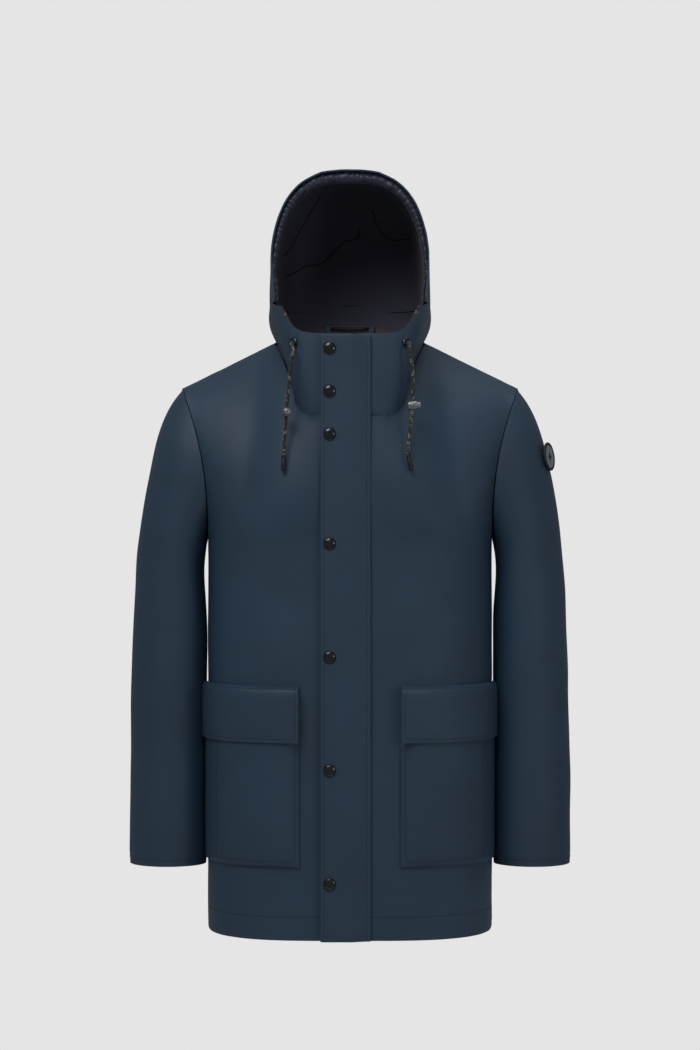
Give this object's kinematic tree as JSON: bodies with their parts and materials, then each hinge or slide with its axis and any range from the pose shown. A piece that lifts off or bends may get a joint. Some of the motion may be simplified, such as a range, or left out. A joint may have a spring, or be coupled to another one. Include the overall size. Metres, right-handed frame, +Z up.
{
  "type": "foul weather jacket",
  "caption": "Hooded three-quarter length foul weather jacket with storm flap over a front zip, snap fasteners, patch pockets with flaps and a hood drawcord.",
  "frame": {"origin": "middle of the neck, level with the inner ends of the shoulder seams, where the wearer's neck holds the jacket", "axes": "+X the wearer's left, -Y the front, +Z up"},
  "size_m": [0.62, 0.2739, 1.05],
  "materials": {
    "shell_cloth": "matt rubber-coated cotton, dark petrol navy",
    "lining_cloth": "plain dark lining",
    "satin_tunnel": "satin navy, gathered",
    "gunmetal": "dark polished gunmetal",
    "grey_metal": "satin",
    "braid": "black braid with beige flecks",
    "tip_plastic": "satin black",
    "zip_tape": "woven tape with moulded teeth",
    "badge_cloth": "embroidered, pale grey with a dark rim"
  },
  "bodies": {
    "torso": {"front_panel_left": "shell_cloth", "front_panel_right": "shell_cloth", "back_panel": "shell_cloth", "torso_lining": "lining_cloth", "collar_left": "shell_cloth", "collar_right": "shell_cloth", "eyelet_left": "gunmetal", "eyelet_right": "gunmetal", "drawcord_left": "braid", "drawcord_right": "braid", "drawcord_run_left": "braid", "drawcord_run_right": "braid", "cord_tip_left": "tip_plastic", "cord_tip_right": "tip_plastic", "zip_chain_left": "zip_tape", "zip_chain_right": "zip_tape", "pocket_left": "shell_cloth", "pocket_right": "shell_cloth", "hanger_loop": "shell_cloth", "snap_stud_1": "gunmetal", "snap_stud_2": "gunmetal", "snap_stud_3": "gunmetal", "snap_stud_4": "gunmetal", "snap_stud_5": "gunmetal", "snap_stud_6": "gunmetal", "snap_stud_7": "gunmetal"},
    "hood": {"hood_side_left": "shell_cloth", "hood_side_right": "shell_cloth", "hood_centre_strip": "shell_cloth", "hood_lining": "lining_cloth", "hood_tunnel": "satin_tunnel", "drawcord_tunnel": "braid"},
    "storm_flap": {"storm_flap": "shell_cloth", "snap_cap_1": "gunmetal", "snap_cap_2": "gunmetal", "snap_cap_3": "gunmetal", "snap_cap_4": "gunmetal", "snap_cap_5": "gunmetal", "snap_cap_6": "gunmetal", "snap_cap_7": "gunmetal"},
    "sleeve_left": {"sleeve_left": "shell_cloth", "sleeve_lining_left": "lining_cloth", "sleeve_badge": "badge_cloth"},
    "sleeve_right": {"sleeve_right": "shell_cloth", "sleeve_lining_right": "lining_cloth"},
    "pocket_flap_left": {"pocket_flap_left": "shell_cloth"},
    "pocket_flap_right": {"pocket_flap_right": "shell_cloth"},
    "zip_slider": {"zip_slider": "gunmetal"},
    "zip_pull": {"zip_pull": "gunmetal"},
    "cord_stopper_left": {"cord_stopper_left": "grey_metal"},
    "cord_stopper_right": {"cord_stopper_right": "grey_metal"},
    "stopper_plunger_left": {"stopper_plunger_left": "grey_metal"},
    "stopper_plunger_right": {"stopper_plunger_right": "grey_metal"}
  },
  "joints": [
    {"name": "hood_fold", "type": "hinge", "parent": "torso", "child": "hood", "pos_m": [0, 0.117, 0.056], "axis": [-1, 0, 0], "range_deg": [0, 150], "deforming": ["hood_side_left", "hood_side_right", "hood_centre_strip", "hood_lining", "hood_tunnel", "drawcord_tunnel"]},
    {"name": "storm_flap_open", "type": "hinge", "parent": "torso", "child": "storm_flap", "pos_m": [0.028, -0.138, -0.4], "axis": [0, 0, 1], "range_deg": [0, 160]},
    {"name": "zip_run", "type": "slide", "parent": "torso", "child": "zip_slider", "axis": [0, 0, 1], "range_m": [-0.76, 0]},
    {"name": "zip_pull_swing", "type": "hinge", "parent": "zip_slider", "child": "zip_pull", "pos_m": [0, -0.131, 0.004], "axis": [0, 1, 0], "range_deg": [-32, 32]},
    {"name": "sleeve_lift_left", "type": "hinge", "parent": "torso", "child": "sleeve_left", "pos_m": [0.215, 0.004, -0.1], "axis": [0, -1, 0], "range_deg": [0, 70], "deforming": ["sleeve_left", "sleeve_lining_left"]},
    {"name": "sleeve_lift_right", "type": "hinge", "parent": "torso", "child": "sleeve_right", "pos_m": [-0.215, 0.004, -0.1], "axis": [0, 1, 0], "range_deg": [0, 70], "deforming": ["sleeve_right", "sleeve_lining_right"]},
    {"name": "pocket_flap_lift_left", "type": "hinge", "parent": "torso", "child": "pocket_flap_left", "pos_m": [0.13, -0.118, -0.463], "axis": [-0.8645, -0.5026, 0], "range_deg": [0, 80], "deforming": ["pocket_flap_left"]},
    {"name": "pocket_flap_lift_right", "type": "hinge", "parent": "torso", "child": "pocket_flap_right", "pos_m": [-0.13, -0.118, -0.463], "axis": [-0.8645, 0.5026, 0], "range_deg": [0, 80], "deforming": ["pocket_flap_right"]},
    {"name": "stopper_slide_left", "type": "slide", "parent": "torso", "child": "cord_stopper_left", "axis": [-0.04, 0, -0.9992], "range_m": [-0.012, 0.008]},
    {"name": "stopper_slide_right", "type": "slide", "parent": "torso", "child": "cord_stopper_right", "axis": [-0.0797, 0, -0.9968], "range_m": [-0.012, 0.012]},
    {"name": "plunger_press_left", "type": "slide", "parent": "cord_stopper_left", "child": "stopper_plunger_left", "axis": [-1, 0, 0], "range_m": [0, 0.0005], "stiffness_N_per_m": 120},
    {"name": "plunger_press_right", "type": "slide", "parent": "cord_stopper_right", "child": "stopper_plunger_right", "axis": [0.0995, 0.995, 0], "range_m": [0, 0.0005], "stiffness_N_per_m": 120}
  ]
}
